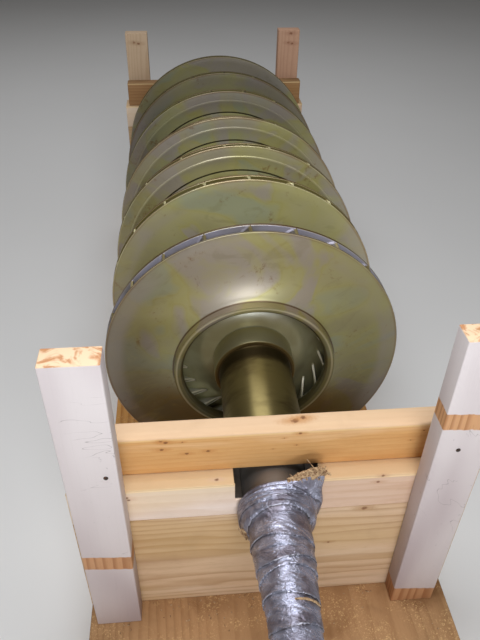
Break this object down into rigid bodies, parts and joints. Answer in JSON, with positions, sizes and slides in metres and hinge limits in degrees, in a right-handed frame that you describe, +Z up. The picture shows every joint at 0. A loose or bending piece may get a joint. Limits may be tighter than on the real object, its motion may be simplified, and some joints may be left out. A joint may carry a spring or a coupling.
{
  "type": "centrifugal compressor rotor",
  "caption": "Multi-stage centrifugal compressor rotor: covered bladed wheels and sleeves on a shaft with taped ends, turning in notched timber saddles on a skidded deck.",
  "frame": {"origin": "middle of the cradle's footprint, on the plane the skids stand on", "axes": "+Z up; +Y along the shaft, from the first wheel's eye towards the last wheel; +X to the right as seen from the first wheel's end"},
  "size_m": [0.674, 2.4, 0.8255],
  "materials": {
    "wheel_steel": "turned steel with an olive and violet oil stain",
    "shaft_steel": "turned steel, oiled and browned",
    "bright_steel": "turned steel",
    "silver_tape": "wrinkled silver cloth tape over padding",
    "pine": "rough sawn, knotty",
    "painted_pine": "white paint with bare bands",
    "plywood": "weathered boards"
  },
  "bodies": {
    "cradle": {"front_saddle_block_left": "pine", "front_saddle_block_right": "pine", "front_notched_plank": "pine", "front_sole_timber": "pine", "front_clamp_beam": "pine", "front_post_left": "painted_pine", "front_post_right": "painted_pine", "rear_saddle_block_left": "pine", "rear_saddle_block_right": "pine", "rear_notched_plank": "pine", "rear_sole_timber": "pine", "rear_clamp_beam": "pine", "rear_post_left": "painted_pine", "rear_post_right": "painted_pine", "deck": "plywood", "skid_left": "pine", "skid_middle": "pine", "skid_right": "pine"},
    "rotor": {"shaft": "shaft_steel", "front_sleeve": "shaft_steel", "spacer_sleeve_1": "shaft_steel", "spacer_sleeve_2": "shaft_steel", "spacer_sleeve_3": "shaft_steel", "spacer_sleeve_4": "shaft_steel", "spacer_sleeve_5": "shaft_steel", "spacer_sleeve_6": "shaft_steel", "wheel_1_bladed_disc": "wheel_steel", "wheel_2_bladed_disc": "wheel_steel", "wheel_3_bladed_disc": "wheel_steel", "wheel_4_bladed_disc": "wheel_steel", "wheel_5_bladed_disc": "wheel_steel", "wheel_6_bladed_disc": "wheel_steel", "wheel_7_bladed_disc": "wheel_steel", "wheel_1_cover": "wheel_steel", "wheel_2_cover": "wheel_steel", "wheel_3_cover": "wheel_steel", "wheel_4_cover": "wheel_steel", "wheel_5_cover": "wheel_steel", "wheel_6_cover": "wheel_steel", "wheel_7_cover": "wheel_steel", "balance_drum": "bright_steel", "locknut": "bright_steel", "front_tape_wrap": "silver_tape", "rear_tape_wrap": "silver_tape"}
  },
  "joints": [
    {"name": "rotor_spin", "type": "hinge", "parent": "cradle", "child": "rotor", "pos_m": [0, 0, 0.4515], "axis": [0, 1, 0], "continuous": true}
  ]
}
